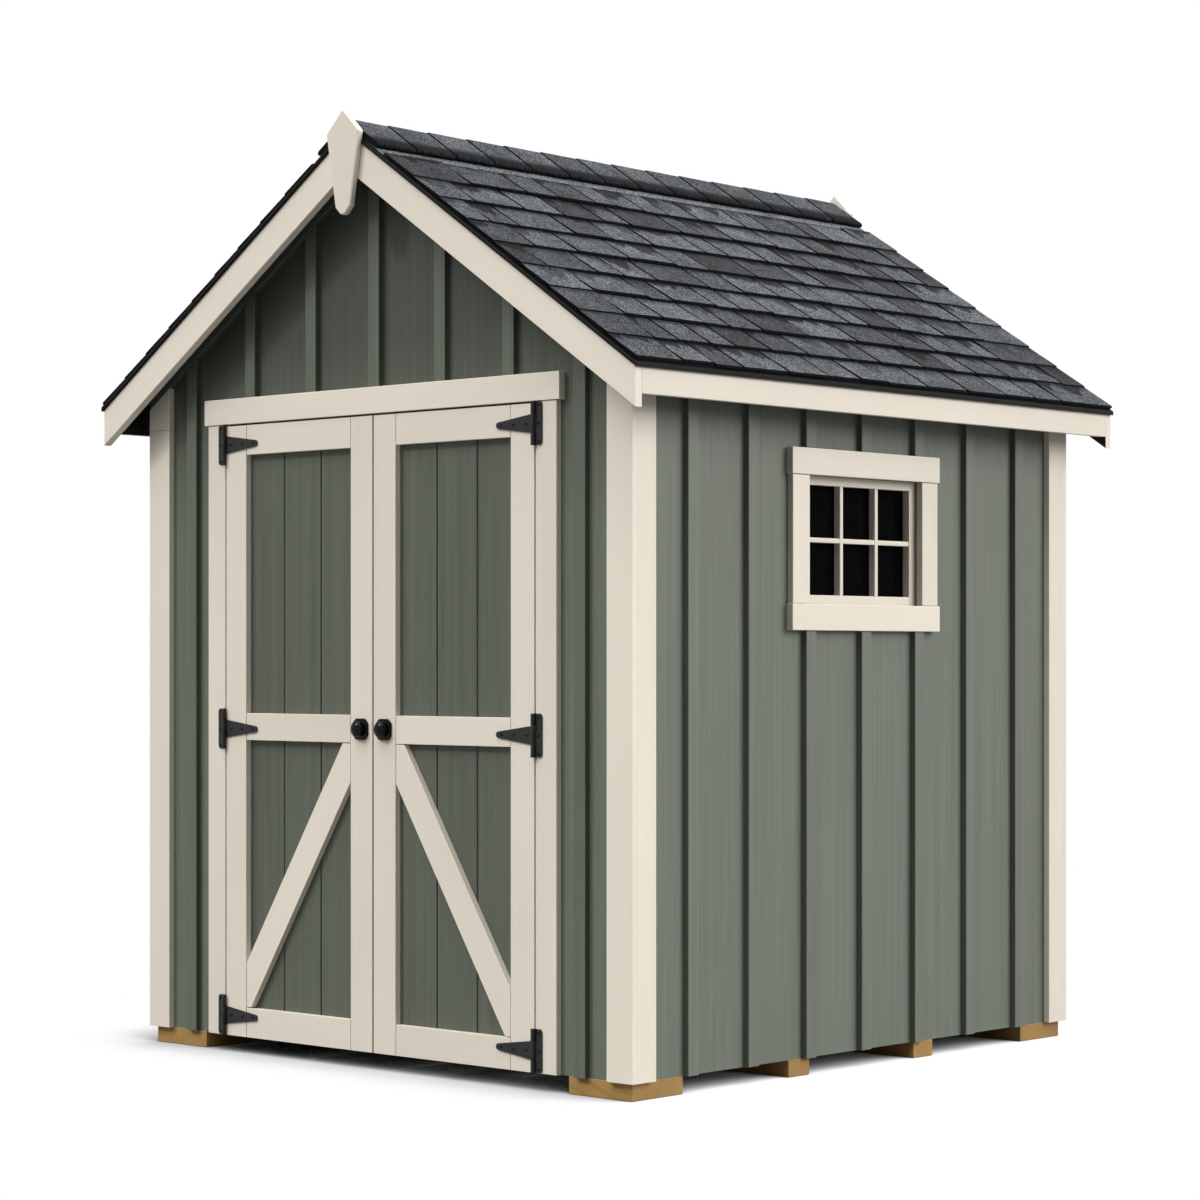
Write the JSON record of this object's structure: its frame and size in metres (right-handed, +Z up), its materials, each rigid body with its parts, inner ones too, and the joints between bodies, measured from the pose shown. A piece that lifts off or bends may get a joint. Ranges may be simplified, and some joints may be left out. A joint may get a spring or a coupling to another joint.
{
  "type": "wooden garden shed",
  "caption": "Small gable-roof wooden garden shed with board-and-batten walls, braced double doors, a barred side window and a shingle roof on timber blocks.",
  "frame": {"origin": "centre of the footprint at ground level", "axes": "+Z up, -Y towards the doors, +X towards the wall with the window"},
  "size_m": [2.21, 2.262, 2.736],
  "materials": {
    "base_timber": "rough sawn softwood",
    "framing_timber": "planed softwood",
    "sheet_boards": "plain boards",
    "green_boards": "flat grey-green paint over wood grain",
    "cream_trim": "satin cream paint",
    "glass": "clear, dark behind",
    "drip_metal": "satin black",
    "shingle": "mineral granules",
    "black_iron": "semi-gloss black"
  },
  "bodies": {
    "building": {"corner_blocks": "base_timber", "cross_skids": "base_timber", "floor_rims": "framing_timber", "floor_joists": "framing_timber", "floor_deck": "sheet_boards", "front_wall_left": "green_boards", "front_wall_right": "green_boards", "front_gable": "green_boards", "left_wall": "green_boards", "right_wall": "green_boards", "rear_wall": "green_boards", "side_plates": "framing_timber", "end_plates": "framing_timber", "window_bucks": "framing_timber", "side_studs": "framing_timber", "end_studs": "framing_timber", "rafters": "framing_timber", "ridge_board": "framing_timber", "eave_blocks": "framing_timber", "rake_friezes": "green_boards", "end_corner_boards": "cream_trim", "side_corner_boards": "cream_trim", "door_casing": "cream_trim", "head_casing": "cream_trim", "end_battens": "green_boards", "side_battens": "green_boards", "window_casing": "cream_trim", "window_sash": "cream_trim", "window_glass": "glass", "roof_deck_left": "sheet_boards", "roof_deck_right": "sheet_boards", "eave_fascias": "cream_trim", "front_barge": "cream_trim", "rear_barge": "cream_trim", "finials": "cream_trim", "drip_edge": "drip_metal", "shingles_left": "shingle", "shingles_right": "shingle", "ridge_cap": "shingle", "hinge_plates": "black_iron"},
    "left_door": {"left_door_panel": "green_boards", "left_door_frame": "cream_trim", "left_door_straps": "black_iron", "left_door_knob": "black_iron"},
    "right_door": {"right_door_panel": "green_boards", "right_door_frame": "cream_trim", "right_door_straps": "black_iron", "right_door_knob": "black_iron"}
  },
  "joints": [
    {"name": "left_door_hinge", "type": "hinge", "parent": "building", "child": "left_door", "pos_m": [-0.642, -1.02, 0.974], "axis": [0, 0, -1], "range_deg": [0, 150]},
    {"name": "right_door_hinge", "type": "hinge", "parent": "building", "child": "right_door", "pos_m": [0.642, -1.02, 0.974], "axis": [0, 0, 1], "range_deg": [0, 150]}
  ]
}
